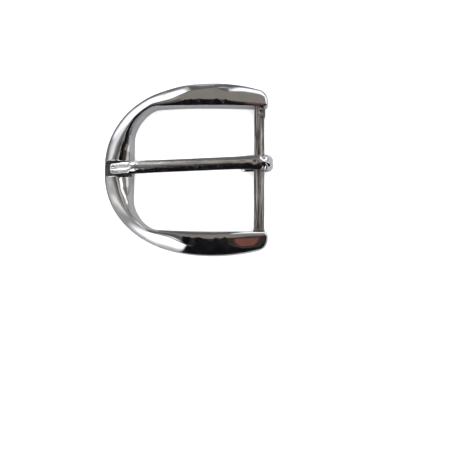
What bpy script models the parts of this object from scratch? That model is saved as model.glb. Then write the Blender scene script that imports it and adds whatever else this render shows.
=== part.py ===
"""Belt buckle for a 40 mm strap: a one-piece cast D frame, a steel bar between its rail ends, and a prong.

Metres, +Z up. The buckle lies on its back. X runs from the crown (-X) to the bar (+X), and Y along the bar.
The origin is under the middle of the whole buckle, on the plane that it lies on.
"""

import math

import bmesh
import bpy
from mathutils import Vector

MM = 0.001

# Frame in plan. "Reach" is the distance from the crown's outer edge towards the bar.
CROWN_X = -27.3 * MM
FRAME_LENGTH = 52.8 * MM
HALF_WIDTH = 28.0 * MM
BELLY_REACH = 35.0 * MM  # where the rails are furthest apart
CROWN_POWER = 2.2  # superellipse exponent of the outer edge
RAIL_RADIUS = 58.0 * MM  # outer edge of a rail, from the belly to its end
CROWN_WIDTH = 9.4 * MM
OPENING_HALF = 20.4 * MM  # half of the strap opening at the bar
OPENING_TAPER = 0.5 * MM  # the opening is this much narrower, each side, where the corners end
CORNER_SIZE = (8.2 * MM, 9.9 * MM)
CORNER_POWER = 1.65
WIDTH_BETWEEN = (3.0 * MM, 14.0 * MM)  # the frame's width is looked for between these, by halving the gap
HALVINGS = 40

# Frame in height
ARCH_RISE = 1.8 * MM
BACK_FLAT = 0.5 * MM  # what the flats at the crown and the rail ends take off the arch
BACK_BLEND = 2.0 * MM  # height over which the back's flats fade into the arch
BACK_CHAMFER = 0.4 * MM
STEP_WIDTH = 0.16 * MM  # of the small step at the crease
NOSE_OUTER_RADIUS = 2.6 * MM
NOSE_INNER_RADIUS = 1.2 * MM
NOSE_TOP_RADIUS = 1.0 * MM

# Prong notch across the crown
NOTCH_WIDTH = 4.9 * MM
NOTCH_FLOOR = 2.5 * MM
NOTCH_CHAMFER = 0.35 * MM
NOTCH_MOUTH = 5.2 * MM  # height at which the chamfered mouth is one chamfer wider than the notch
CUTTER_HEIGHT = 12.0 * MM
CUTTER_MARGIN = 2.0 * MM

# Bar, and its blind sockets in the rails
BAR_REACH = 50.0 * MM
BAR_HEIGHT = 3.0 * MM
BAR_RADIUS = 1.65 * MM
SPIGOT_RADIUS = 1.2 * MM
SPIGOT_LENGTH = 3.0 * MM
COLLAR_RADIUS = 1.8 * MM
COLLAR_LENGTH = 2.4 * MM
COLLAR_STRAIGHT = 0.8  # part of the collar's length before it tapers
GAP = 0.3 * MM
SOCKET_DEPTH = 3.4 * MM

# Prong, about the bar's axis
PRONG_YAW = math.radians(2.1)
PRONG_SIDE = 1.85 * MM  # the loop sits this far along the bar from the middle
PRONG_SLOPE = 0.0464
BEND_LENGTH = 6.0 * MM  # over which the shank levels out towards the bar
LOOP_WIDTH = 4.9 * MM
LOOP_INNER_RADIUS = BAR_RADIUS + GAP
LOOP_TOP = 2.2 * MM
LOOP_SIDE = 2.65 * MM
TAIL_THICKNESS = 1.0 * MM
TAIL_REACH = 5.9 * MM
TAIL_WIDTH = 4.0 * MM
TAIL_RINGS = ((0.35, 1.0), (0.7, 1.0), (0.93, 0.95), (1.0, 0.7))  # part of its length, and of its full size
PRONG_TOP_SHARE = 0.42  # most of the thickness that the top's arc may take up
PRONG_UNDER_POWER = 3.0
LOOP_STEPS = 12

CROWN_END = 0.26  # way at which the crown's closer sections end
CROWN_STEPS = 9
SIDE_STEPS = 18
RAIL_STEPS = 8
NOSE_STEPS = 6
BAND_STEPS = 7
FACET_STEPS = 7
RIM_STEPS = 2
SLOPE_STEPS = 6  # fine steps in which a slope is followed, to each step of the section
ROUND_SIDES = 32
PRONG_TOP_STEPS = 10
PRONG_UNDER_STEPS = 8

# The frame's section at named places from the crown's middle (way 0) past the belly (1) to the nose (2). In mm:
# the crease's height and distance from the outer edge, the rim's width, and the drop of the step at the crease.
# Then how steeply the top rises, or falls if negative, in degrees at knots along the band, the facet and the rim.
BAND_KNOTS = (0.0, 0.27, 0.63, 1.0)
FACET_KNOTS = (0.0, 0.3, 0.6, 0.8, 1.0)
RIM_KNOTS = (0.0, 0.4, 1.0)
SECTIONS = (
    (0.00, 5.0, 3.90, 1.60, 0.0, 40, 33, 14, -3, -54, -34, -2, 20, 28, -48, -56, -66),
    (0.12, 5.0, 4.40, 1.40, 0.0, 38, 31, 18, 2, -54, -34, -3, 20, 28, -48, -56, -68),
    (0.18, 5.0, 4.25, 1.40, 0.0, 38, 31, 20, 3, -54, -38, -8, 18, 24, -48, -56, -68),
    (0.25, 4.95, 4.15, 1.65, 0.05, 38, 31, 21, 5, -54, -46, -28, 0, 18, -48, -55, -62),
    (0.32, 4.9, 3.85, 1.95, 0.1, 37, 32, 24, 8, -48, -44, -40, -38, -36, -48, -54, -62),
    (0.45, 4.8, 3.20, 1.65, 0.1, 37, 32, 26, 14, -30, -36, -38, -40, -42, -50, -57, -68),
    (0.60, 4.7, 3.05, 0.90, 0.1, 37, 33, 24, 14, 14, 0, -14, -26, -34, -52, -60, -74),
    (0.68, 4.7, 3.65, 0.40, 0.1, 37, 33, 24, 15, 16, 4, -10, -26, -40, -52, -64, -76),
    (0.74, 4.7, 3.95, 0.35, 0.1, 37, 34, 25, 15, 16, 6, -8, -26, -42, -54, -66, -78),
    (0.82, 4.7, 3.30, 0.25, 0.08, 37, 34, 27, 20, 14, 8, -5, -26, -46, -54, -66, -78),
    (0.88, 4.65, 2.60, 0.20, 0.05, 40, 36, 30, 26, 8, 8, -2, -22, -50, -55, -66, -78),
    (0.95, 4.6, 2.30, 0.18, 0.0, 43, 39, 36, 33, 10, 8, 0, -18, -52, -56, -66, -78),
    (1.03, 4.55, 1.80, 0.18, 0.0, 42, 38, 36, 33, 12, 7, 1, -14, -52, -56, -66, -78),
    (1.31, 4.4, 1.35, 0.15, 0.0, 38, 36, 34, 32, 27, 11, 4, -7, -48, -54, -66, -78),
    (1.60, 4.4, 0.85, 0.15, 0.0, 40, 37, 34, 32, 26, 8, 4, 0, -34, -54, -66, -78),
    (2.00, 4.45, 0.60, 0.15, 0.0, 42, 38, 34, 32, 24, 8, 4, 1, -28, -54, -66, -78),
)

# The prong's shank: distance from the bar, width, thickness and depth of the groove on top, in mm, and the tilt
# of the top at its sides, in degrees.
SHANK = (
    (0.0, 4.7, 2.2, 0.0, 46),
    (4.0, 4.45, 2.3, 0.0, 50),
    (8.0, 4.15, 2.35, 0.0, 50),
    (30.0, 4.1, 2.3, 0.0, 50),
    (39.0, 4.2, 2.3, 0.0, 50),
    (41.2, 4.1, 2.15, 0.05, 44),
    (42.2, 3.55, 1.95, 0.22, 16),
    (47.0, 3.5, 0.8, 0.2, 12),
    (47.9, 3.1, 0.65, 0.15, 14),
    (48.25, 2.2, 0.45, 0.05, 20),
)
# Distances from the bar at which the shank's sections stand, in mm
SHANK_REACHES = (
    *(48.25, 48.1, 47.9, 47.4, 46.0, 44.0, 42.6, 42.2, 41.7, 41.2, 39.8),
    *(38.0, 34.0, 30.0, 25.0, 20.0, 15.0, 11.0, 8.0, 6.0, 4.0, 2.0),
)


def clear_scene():
    for thing in list(bpy.data.objects):
        bpy.data.objects.remove(thing)


def new_collection(name):
    collection = bpy.data.collections.new(name)
    bpy.context.scene.collection.children.link(collection)
    return collection


def new_material(name, colour, roughness):
    material = bpy.data.materials.new(name)
    material.use_nodes = True
    shader = material.node_tree.nodes["Principled BSDF"]
    shader.inputs["Base Color"].default_value = (*colour, 1.0)
    shader.inputs["Metallic"].default_value = 1.0
    shader.inputs["Roughness"].default_value = roughness
    return material


def new_object(name, verts, faces, material, collection):
    mesh = bpy.data.meshes.new(name)
    mesh.from_pydata([Vector(v) for v in verts], [], faces)
    mesh.materials.append(material)
    made = bpy.data.objects.new(name, mesh)
    collection.objects.link(made)
    return made


def make_cutter(made, collection):
    for old in list(made.users_collection):
        old.objects.unlink(made)
    collection.objects.link(made)
    made.hide_render = True
    made.display_type = "WIRE"
    return made


def cut(target, cutter):
    modifier = target.modifiers.new(cutter.name, "BOOLEAN")
    modifier.operation = "DIFFERENCE"
    modifier.solver = "EXACT"
    modifier.object = cutter


def shade(made, angle):
    made.data.shade_smooth()
    made.data.set_sharp_from_angle(angle=math.radians(angle))


def smooth_between(rows, at):
    """The values of a table of rows at a point between them, on a smooth curve with no overshoot."""
    at = min(max(at, rows[0][0]), rows[-1][0])
    index = max(i for i in range(len(rows) - 1) if rows[i][0] <= at)
    low, high = rows[index], rows[index + 1]
    part = (at - low[0]) / (high[0] - low[0])

    def slope(row, column):
        if row == 0 or row == len(rows) - 1:
            return 0.0
        before = (rows[row][column] - rows[row - 1][column]) / (rows[row][0] - rows[row - 1][0])
        after = (rows[row + 1][column] - rows[row][column]) / (rows[row + 1][0] - rows[row][0])
        return 2 * before * after / (before + after) if before * after > 0 else 0.0

    span = high[0] - low[0]
    values = []
    for column in range(1, len(low)):
        a, b = low[column], high[column]
        start, end = slope(index, column) * span, slope(index + 1, column) * span
        values.append(
            a * (1 + 2 * part) * (1 - part) ** 2
            + start * part * (1 - part) ** 2
            + b * part**2 * (3 - 2 * part)
            - end * part**2 * (1 - part)
        )
    return values


def slope_at(knots, degrees, part):
    """The slope at a part of the way along a path whose slope runs evenly between its knots."""
    index = max(i for i in range(len(knots) - 1) if knots[i] <= part)
    share = (part - knots[index]) / (knots[index + 1] - knots[index])
    return math.tan(math.radians(degrees[index] * (1 - share) + degrees[index + 1] * share))


def sloped(start, length, knots, degrees, steps):
    """Points along a path with the given slopes, without the point that it starts at."""
    out, up = start
    points = []
    fine = SLOPE_STEPS * steps
    for step in range(fine):
        out += length / fine
        up += slope_at(knots, degrees, (step + 0.5) / fine) * length / fine
        if step % SLOPE_STEPS == SLOPE_STEPS - 1:
            points.append((out, up))
    return points


def outer_edge(way):
    """A point of the frame's outer edge on the +Y side, and its inward direction. Way runs from 0 to 2."""
    if way <= 1.0:
        angle = way * math.pi / 2
        along, across = math.cos(angle), math.sin(angle)
        x = BELLY_REACH * (1 - max(along, 0.0) ** (2 / CROWN_POWER))
        y = HALF_WIDTH * across ** (2 / CROWN_POWER)
        back = max(BELLY_REACH - x, 0.0) / BELLY_REACH
        inward = Vector(
            (
                back ** (CROWN_POWER - 1) / BELLY_REACH,
                -((y / HALF_WIDTH) ** (CROWN_POWER - 1)) / HALF_WIDTH,
            )
        )
    else:
        run = (way - 1) * (FRAME_LENGTH - BELLY_REACH)
        x = BELLY_REACH + run
        y = HALF_WIDTH - (RAIL_RADIUS - math.sqrt(RAIL_RADIUS**2 - run**2))
        inward = Vector((0.0, -1.0))
    return Vector((x, y)), inward.normalized()


def opening_half(reach):
    """Half of the strap opening's width at a distance from the crown's outer edge, or 0 in the crown."""
    corner_x, corner_y = CORNER_SIZE
    corner_end = CROWN_WIDTH + corner_x
    rail_start = OPENING_HALF - OPENING_TAPER
    if reach <= CROWN_WIDTH:
        return 0.0
    if reach < corner_end:
        across = ((corner_end - reach) / corner_x) ** CORNER_POWER
        return rail_start - corner_y + corner_y * (1 - across) ** (1 / CORNER_POWER)
    left = max(BELLY_REACH - reach, 0.0) / (BELLY_REACH - corner_end)
    return OPENING_HALF - OPENING_TAPER * left**2


def frame_width(edge, inward):
    """How far the strap opening is from the outer edge, along the inward direction."""
    low, high = WIDTH_BETWEEN
    for _ in range(HALVINGS):
        middle = (low + high) / 2
        point = edge + inward * middle
        if abs(point.y) < opening_half(point.x):
            high = middle
        else:
            low = middle
    return high


def arch(reach):
    """How far the buckle's curve along the belt lifts a section: most halfway, and nothing at either end."""
    part = 2 * reach / FRAME_LENGTH - 1
    return ARCH_RISE * (1 - part**2)


def rounding(reach, radius):
    """How far an edge has drawn in on its way round the nose, with the given radius."""
    past = reach - (FRAME_LENGTH - radius)
    return radius - math.sqrt(max(radius**2 - past**2, 0.0)) if past > 0 else 0.0


def frame_section(way, width):
    """The frame's section as (distance from the outer edge, height) points, up the outer wall and back."""
    values = smooth_between(SECTIONS, way)
    height, crease, rim, step = [value * MM for value in values[:4]]
    slopes = values[4:]
    band_end, facet_end = len(BAND_KNOTS), len(BAND_KNOTS) + len(FACET_KNOTS)
    rim = min(rim, width - crease - 2 * STEP_WIDTH)
    band = [(0.0, 0.0)] + sloped((0.0, 0.0), crease - STEP_WIDTH, BAND_KNOTS, slopes[:band_end], BAND_STEPS)
    raised = height - band[-1][1]
    band = [(out, up + raised) for out, up in band]
    foot_up = height + STEP_WIDTH * math.tan(math.radians(slopes[band_end])) - step
    facet = [(crease, foot_up)]
    facet += sloped(facet[0], width - rim - crease, FACET_KNOTS, slopes[band_end:facet_end], FACET_STEPS)
    edge = sloped(facet[-1], rim, RIM_KNOTS, slopes[facet_end:], RIM_STEPS)
    back_outer = [(BACK_CHAMFER, 0.0), (0.0, BACK_CHAMFER)]
    back_inner = [(width, BACK_CHAMFER), (width - BACK_CHAMFER, 0.0)]
    return back_outer + band + facet + edge + back_inner


def frame_ring(way):
    edge, inward = outer_edge(way)
    width = frame_width(edge, inward)
    outer, inner = rounding(edge.x, NOSE_OUTER_RADIUS), rounding(edge.x, NOSE_INNER_RADIUS)
    top_drop, back_lift = rounding(edge.x, NOSE_TOP_RADIUS), rounding(edge.x, BACK_CHAMFER)
    section = frame_section(way, width)
    top = max(up for _, up in section)
    lift = arch(edge.x)
    back = max(lift - BACK_FLAT, 0.0)
    ring = []
    for out, up in section:
        out = outer + out * (width - outer - inner) / width
        up = back_lift + up * (top - top_drop - back_lift) / top
        lifted = back + up + (lift - back) * min(up / BACK_BLEND, 1.0)
        place = edge + inward * out
        ring.append((CROWN_X + place.x, place.y, lifted))
    return ring


def frame_ways():
    """Where the sections stand: even steps over crown, side and rail, then closer round the nose."""
    rail = FRAME_LENGTH - BELLY_REACH
    nose = 1 + (rail - NOSE_OUTER_RADIUS) / rail
    ways = []
    spans = ((0.0, CROWN_END, CROWN_STEPS), (CROWN_END, 1.0, SIDE_STEPS), (1.0, nose, RAIL_STEPS))
    for start, end, steps in spans:
        ways += [start + (end - start) * step / steps for step in range(steps)]
    for step in range(NOSE_STEPS + 1):
        ways.append(nose + (2 - nose) * math.sin(math.pi / 2 * step / NOSE_STEPS))
    return ways


def loft(rings):
    """Faces between closed rings of points, with the last ring closed by one face and the first left open."""
    size = len(rings[0])
    verts = [point for ring in rings for point in ring]
    faces = []
    for row in range(len(rings) - 1):
        for column in range(size):
            after = (column + 1) % size
            near, far = row * size, (row + 1) * size
            faces.append((near + column, far + column, far + after, near + after))
    faces.append([(len(rings) - 1) * size + column for column in range(size)])
    return verts, faces


def recalculate(made):
    mesh = bmesh.new()
    mesh.from_mesh(made.data)
    bmesh.ops.recalc_face_normals(mesh, faces=mesh.faces)
    mesh.to_mesh(made.data)
    mesh.free()


def turned(name, profile, steps, material, collection):
    """A turned piece about its own Z axis, from (radius, height) points down its outer side."""
    verts = [(radius, 0.0, height) for radius, height in profile]
    mesh = bpy.data.meshes.new(name)
    mesh.from_pydata(verts, [(i, i + 1) for i in range(len(verts) - 1)], [])
    made = bpy.data.objects.new(name, mesh)
    collection.objects.link(made)
    screw = made.modifiers.new("Screw", "SCREW")
    screw.steps = steps
    screw.render_steps = steps
    screw.use_merge_vertices = True
    screw.merge_threshold = 0.00001
    mesh.materials.append(material)
    return made


def lay_along_bar(made, middle_y):
    """Turns a piece's own Z axis along the bar, and puts its origin on the bar's axis."""
    made.rotation_euler = (-math.pi / 2, 0.0, 0.0)
    made.location = (CROWN_X + BAR_REACH, middle_y, BAR_HEIGHT)


def notch_cutter(material, collection):
    """A box across the crown with a wider mouth, which leaves the notch's edges chamfered."""
    half, high, mouth = NOTCH_WIDTH / 2, CUTTER_HEIGHT, NOTCH_MOUTH
    sides = (
        (-half, NOTCH_FLOOR),
        (half, NOTCH_FLOOR),
        (half, mouth - 2 * NOTCH_CHAMFER),
        (half + 3 * NOTCH_CHAMFER, mouth + NOTCH_CHAMFER),
        (half + 3 * NOTCH_CHAMFER, high),
        (-half - 3 * NOTCH_CHAMFER, high),
        (-half - 3 * NOTCH_CHAMFER, mouth + NOTCH_CHAMFER),
        (-half, mouth - 2 * NOTCH_CHAMFER),
    )
    start, end = CROWN_X - CUTTER_MARGIN, CROWN_X + CROWN_WIDTH + CUTTER_MARGIN
    rings = [[(x, y, z) for y, z in sides] for x in (start, end)]
    verts, faces = loft(rings)
    faces.append(list(range(len(sides))))
    made = new_object("notch_cutter", verts, faces, material, collection)
    recalculate(made)
    return make_cutter(made, collection)


def socket_cutter(name, side, material, collection):
    """A blind hole for one of the bar's spigots, opening at the rail's inner face."""
    start = OPENING_HALF - CUTTER_MARGIN
    length = CUTTER_MARGIN + SOCKET_DEPTH
    radius = SPIGOT_RADIUS + GAP
    profile = ((0.0, length / 2), (radius, length / 2), (radius, -length / 2), (0.0, -length / 2))
    made = turned(name, profile, ROUND_SIDES, material, collection)
    lay_along_bar(made, side * (start + length / 2))
    return make_cutter(made, collection)


def build_frame(material, parts, cutters):
    verts, faces = loft([frame_ring(way) for way in frame_ways()])
    frame = new_object("frame", verts, faces, material, parts)
    recalculate(frame)
    shade(frame, 30)
    mirror = frame.modifiers.new("Mirror", "MIRROR")
    mirror.use_axis = (False, True, False)
    mirror.merge_threshold = 0.00001
    cut(frame, notch_cutter(material, cutters))
    for name, side in (("socket_cutter_left", 1), ("socket_cutter_right", -1)):
        cut(frame, socket_cutter(name, side, material, cutters))
    return frame


def build_bar(material, parts):
    """The steel pin, with a spigot at each end and the staked collar beside the +Y rail."""
    shoulder = OPENING_HALF - GAP
    end = shoulder + SPIGOT_LENGTH
    profile = (
        (0.0, end),
        (SPIGOT_RADIUS, end),
        (SPIGOT_RADIUS, shoulder),
        (COLLAR_RADIUS, shoulder),
        (COLLAR_RADIUS, shoulder - COLLAR_LENGTH * COLLAR_STRAIGHT),
        (BAR_RADIUS, shoulder - COLLAR_LENGTH),
        (BAR_RADIUS, -shoulder),
        (SPIGOT_RADIUS, -shoulder),
        (SPIGOT_RADIUS, -end),
        (0.0, -end),
    )
    bar = turned("bar", profile, ROUND_SIDES, material, parts)
    lay_along_bar(bar, 0.0)
    return bar


def shank_height(reach):
    """Height of the shank's middle over the bar's axis: level at the bar, then sloping to the notch."""
    start = LOOP_INNER_RADIUS + LOOP_TOP / 2
    if reach < BEND_LENGTH:
        return start - PRONG_SLOPE * reach**2 / (2 * BEND_LENGTH)
    return start - PRONG_SLOPE * (reach - BEND_LENGTH / 2)


def prong_section(width, thickness, groove=0.0, top_tilt=SHANK[0][4]):
    """A section as (across, up) points: an arc on top, nearly upright sides and a rounded underside."""
    limit = 2 * PRONG_TOP_SHARE * thickness / width
    tilt = 2 * math.atan(min(math.tan(math.radians(top_tilt) / 2), limit))
    radius = width / 2 / math.sin(tilt)
    points = []
    for step in range(PRONG_TOP_STEPS + 1):
        angle = tilt * (1 - 2 * step / PRONG_TOP_STEPS)
        across = radius * math.sin(angle)
        up = thickness / 2 - radius * (1 - math.cos(angle))
        points.append((across, up - groove * math.exp(-((across / (width / 7)) ** 2))))
    edge = thickness / 2 - radius * (1 - math.cos(tilt))
    for step in range(1, PRONG_UNDER_STEPS):
        angle = math.pi * step / PRONG_UNDER_STEPS
        c, s = math.cos(angle), math.sin(angle)
        across = -math.copysign(abs(c) ** (2 / PRONG_UNDER_POWER), c) * width / 2
        points.append((across, edge - s ** (2 / PRONG_UNDER_POWER) * (thickness / 2 + edge)))
    return points


def prong_rings():
    """Sections from the tip along the shank, over the bar and round it, to the tail's end."""
    rings = []
    for reach in SHANK_REACHES:
        *sizes, top_tilt = smooth_between(SHANK, reach)
        width, thickness, groove = [size * MM for size in sizes]
        middle = shank_height(reach * MM) - (SHANK[0][2] * MM - thickness) / 2
        section = prong_section(width, thickness, groove, top_tilt)
        rings.append([(-reach * MM, across, middle + up) for across, up in section])
    for step in range(LOOP_STEPS + 1):
        angle = math.pi / 2 - math.pi * step / LOOP_STEPS
        side = math.cos(angle)
        ends = LOOP_TOP if angle > 0 else TAIL_THICKNESS
        thickness = ends + (LOOP_SIDE - ends) * side**2
        narrow = SHANK[0][1] * MM if angle > 0 else TAIL_WIDTH
        width = narrow + (LOOP_WIDTH - narrow) * side
        radius = LOOP_INNER_RADIUS + thickness / 2
        section = prong_section(width, thickness)
        rings.append(
            [
                ((radius + up) * math.cos(angle), across, (radius + up) * math.sin(angle))
                for across, up in section
            ]
        )
    under = -(LOOP_INNER_RADIUS + TAIL_THICKNESS / 2)
    for part, size in TAIL_RINGS:
        section = prong_section(TAIL_WIDTH * size, TAIL_THICKNESS * size)
        rings.append([(-TAIL_REACH * part, across, under - up) for across, up in section])
    return rings


def build_prong(material, parts):
    """The prong, with its origin on the bar's axis, turned a little so that its tip meets the notch."""
    rings = prong_rings()
    verts, faces = loft(rings)
    faces.append(list(range(len(rings[0]))))
    prong = new_object("prong", verts, faces, material, parts)
    recalculate(prong)
    shade(prong, 40)
    prong.location = (CROWN_X + BAR_REACH, PRONG_SIDE, BAR_HEIGHT)
    prong.rotation_euler = (0.0, 0.0, PRONG_YAW)
    return prong


def main():
    clear_scene()
    parts = new_collection("belt_buckle")
    cutters = new_collection("cutters")
    plating = new_material("polished_plating", (0.62, 0.61, 0.60), 0.12)
    steel = new_material("drawn_steel", (0.42, 0.40, 0.37), 0.35)
    build_frame(plating, parts, cutters)
    build_bar(steel, parts)
    build_prong(plating, parts)


main()
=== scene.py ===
"""Looks of the belt buckle: a polished plated D frame, a drawn steel bar between its rail ends, and a prong.

Each piece is lofted finely over its CAD solid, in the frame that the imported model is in. Shapes are worked
out in millimetres and scaled to metres when a mesh is made.
"""

import math

import bpy
import numpy as np
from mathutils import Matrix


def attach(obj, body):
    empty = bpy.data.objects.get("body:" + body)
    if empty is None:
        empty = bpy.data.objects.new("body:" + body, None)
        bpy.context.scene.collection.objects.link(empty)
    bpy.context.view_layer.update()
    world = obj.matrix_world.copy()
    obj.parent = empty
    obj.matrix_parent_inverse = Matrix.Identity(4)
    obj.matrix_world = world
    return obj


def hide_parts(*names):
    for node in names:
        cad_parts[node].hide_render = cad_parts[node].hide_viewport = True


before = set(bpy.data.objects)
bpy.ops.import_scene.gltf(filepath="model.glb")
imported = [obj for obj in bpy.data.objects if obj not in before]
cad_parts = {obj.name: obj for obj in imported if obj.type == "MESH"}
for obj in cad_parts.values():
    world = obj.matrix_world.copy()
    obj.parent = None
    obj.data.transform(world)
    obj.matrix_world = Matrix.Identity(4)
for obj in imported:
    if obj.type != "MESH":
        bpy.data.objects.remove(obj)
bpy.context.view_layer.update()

MM = 0.001

# Frame in plan. "Reach" is the distance from the crown's outer edge towards the bar.
CROWN_X = -27.3
FRAME_LENGTH = 52.8
HALF_WIDTH = 28.0
BELLY_REACH = 35.0  # where the rails are furthest apart
CROWN_POWER = 2.2  # superellipse exponent of the outer edge
RAIL_RADIUS = 58.0
CROWN_WIDTH = 9.4
OPENING_HALF = 20.4
OPENING_TAPER = 0.5
CORNER_SIZE = (8.2, 9.9)
CORNER_POWER = 1.65
SQUARE_TO, SLANTED_FROM = 2.7, 10.0  # sections stand square to the notch up to here, to the edge past here
WIDTH_BETWEEN, HALVINGS = (3.0, 14.0), 40  # where the frame's width is searched for, and how finely

# Frame in height
ARCH_RISE = 1.8
BACK_FLAT = 0.5
BACK_BLEND = 2.0
EDGE_ROUND = 0.5  # at the back's two edges
SHOULDER_ROUND = 0.12
CREASE_ROUND = 0.06
RIM_ROUND = 0.12
LIP_ROUND = 0.25
NOSE_OUTER_RADIUS = 2.6
NOSE_INNER_RADIUS = 1.2
NOSE_TOP_RADIUS = 1.0
NOSE_BACK_RADIUS = 0.4

# The frame's section at named places from the crown's middle (way 0) past the belly (1) to the nose (2): way,
# crease's height, distance from the outer edge to the crease, rim's width, drop of the step at the crease,
# and then how steeply the top rises (or falls, if negative) in degrees at knots along the band, the facet and
# the rim.
BAND_KNOTS = (0.0, 0.27, 0.63, 1.0)
FACET_KNOTS = (0.0, 0.3, 0.6, 0.8, 1.0)
RIM_KNOTS = (0.0, 0.4, 1.0)
STEP_WIDTH = 0.16
FACET_LEAST = 0.3  # what the rim leaves of the facet where the frame is narrow
SECTIONS = (
    (0.00, 5.0, 3.90, 1.60, 0.0, 40, 33, 14, -3, -54, -34, -2, 20, 28, -48, -56, -66),
    (0.12, 5.0, 4.40, 1.40, 0.0, 38, 31, 18, 2, -54, -34, -3, 20, 28, -48, -56, -68),
    (0.18, 5.0, 4.25, 1.40, 0.0, 38, 31, 20, 3, -54, -38, -8, 18, 24, -48, -56, -68),
    (0.25, 4.95, 4.15, 1.65, 0.05, 38, 31, 21, 5, -54, -46, -28, 0, 18, -48, -55, -62),
    (0.32, 4.9, 3.85, 1.95, 0.1, 37, 32, 24, 8, -48, -44, -40, -38, -36, -48, -54, -62),
    (0.45, 4.8, 3.20, 1.65, 0.1, 37, 32, 26, 14, -30, -36, -38, -40, -42, -50, -57, -68),
    (0.60, 4.7, 3.05, 0.90, 0.1, 37, 33, 24, 14, 14, 0, -14, -26, -34, -52, -60, -74),
    (0.68, 4.7, 3.65, 0.40, 0.1, 37, 33, 24, 15, 16, 4, -10, -26, -40, -52, -64, -76),
    (0.74, 4.7, 3.95, 0.35, 0.1, 37, 34, 25, 15, 16, 6, -8, -26, -42, -54, -66, -78),
    (0.82, 4.7, 3.30, 0.25, 0.08, 37, 34, 27, 20, 14, 8, -5, -26, -46, -54, -66, -78),
    (0.88, 4.65, 2.60, 0.20, 0.05, 40, 36, 30, 26, 8, 8, -2, -22, -50, -55, -66, -78),
    (0.95, 4.6, 2.30, 0.18, 0.0, 43, 39, 36, 33, 10, 8, 0, -18, -52, -56, -66, -78),
    (1.03, 4.55, 1.80, 0.18, 0.0, 42, 38, 36, 33, 12, 7, 1, -14, -52, -56, -66, -78),
    (1.31, 4.4, 1.35, 0.15, 0.0, 38, 36, 34, 32, 27, 11, 4, -7, -48, -54, -66, -78),
    (1.60, 4.4, 0.85, 0.15, 0.0, 40, 37, 34, 32, 26, 8, 4, 0, -34, -54, -66, -78),
    (2.00, 4.45, 0.60, 0.15, 0.0, 42, 38, 34, 32, 24, 8, 4, 1, -28, -54, -66, -78),
)

# One section's sides in turn: outer wall, band, step, facet, rim, inner wall and back. For each, how many
# points it has, how much is rounded off at the corner after it, and how many points that corner adds.
SIDE_POINTS = (6, 30, 3, 34, 12, 5, 5)
CORNER_ROUNDS = (SHOULDER_ROUND, CREASE_ROUND, CREASE_ROUND, RIM_ROUND, LIP_ROUND, EDGE_ROUND, EDGE_ROUND)
CORNER_POINTS = (4, 3, 3, 5, 5, 4, 4)
SLOPE_STEPS = 60
TRIM_SHARE = 0.45  # most of a side that the rounding of one corner may take

# Prong notch across the crown. Its floor is left as cast and painted dark as shade, from just inside the
# outer wall.
NOTCH_HALF = 2.45
NOTCH_FLOOR = 2.5
NOTCH_EDGE = 0.35
NOTCH_FILLET = 0.3
NOTCH_DRAFT = 0.06
CAST_BELOW_FLOOR, CAST_INSIDE_WALL = 0.05, 0.02

# Where the frame's sections stand: how many across the notch's floor and round each of its rounded edges, at
# which parts of its wall, how far apart beside it, at which steps of the way along the crown's sides, and how
# many along the rail and round the nose
FLOOR_COUNT, ROUNDED_COUNT = 8, 5
WALL_PARTS = (0.8, 0.6, 0.4, 0.2, 0.0)
BESIDE_GAP, BESIDE_STEP, BESIDE_TO = 0.25, 0.4, 9.0
SIDE_GAP, SIDE_STEP = 0.009, 0.0095
RAIL_COUNT, NOSE_COUNT = 36, 17

# Bar
BAR_REACH = 50.0
BAR_HEIGHT = 3.0
BAR_RADIUS = 1.65
BAR_IN_RAIL = 0.5
BOSS_ENDS, BOSS_BULGE = (16.7, 19.7), 0.3  # where staking pushed metal out, on the side away from the crown
BOSS_FADES = (0.6, 0.3)
PUNCH_AT, PUNCH_TURN, PUNCH_RADIUS, PUNCH_DEPTH = 18.7, math.radians(72), 0.55, 0.3
PUNCH_RIM_SHARE, PUNCH_RIM_AWAY = 0.3, 2.0  # the metal that the punch raised round its mark
COLLAR_AT, COLLAR_PROUD, COLLAR_FADE = -19.5, 0.22, 0.15
BAR_WAVE, BAR_WAVE_FADE = 0.03, 1.0
BAR_WAVES = ((3, 0.35), (2, -0.21))  # waves round the bar, and their turn along it in radians per mm
BAR_SIDES, BAR_STEPS = 64, 240

# Prong, about the bar's axis
PRONG_YAW = math.radians(2.1)
PRONG_SIDE = 1.85
PRONG_SLOPE = 0.0464
BEND_LENGTH = 6.0
LOOP_WIDTH = 4.9
LOOP_INNER_RADIUS = 1.95
LOOP_TOP = 2.2
LOOP_SIDE = 2.65
LOOP_COUNT = 70
TAIL_THICKNESS = 1.0
TAIL_REACH = 5.9
TAIL_WIDTH = 4.0
TAIL_PARTS = ((0.15, 1.0), (0.35, 1.0), (0.7, 1.0), (0.93, 0.95), (1.0, 0.7))  # part of its reach, and size
PRONG_TOP_SHARE = 0.42  # most of the thickness that the top's arc may take up
PRONG_UNDER_POWER = 3.0
PRONG_TOP_POINTS, PRONG_UNDER_POINTS = 41, 33
PAD_GROOVE_PART = 7  # the section's width is this many times the groove's

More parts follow.
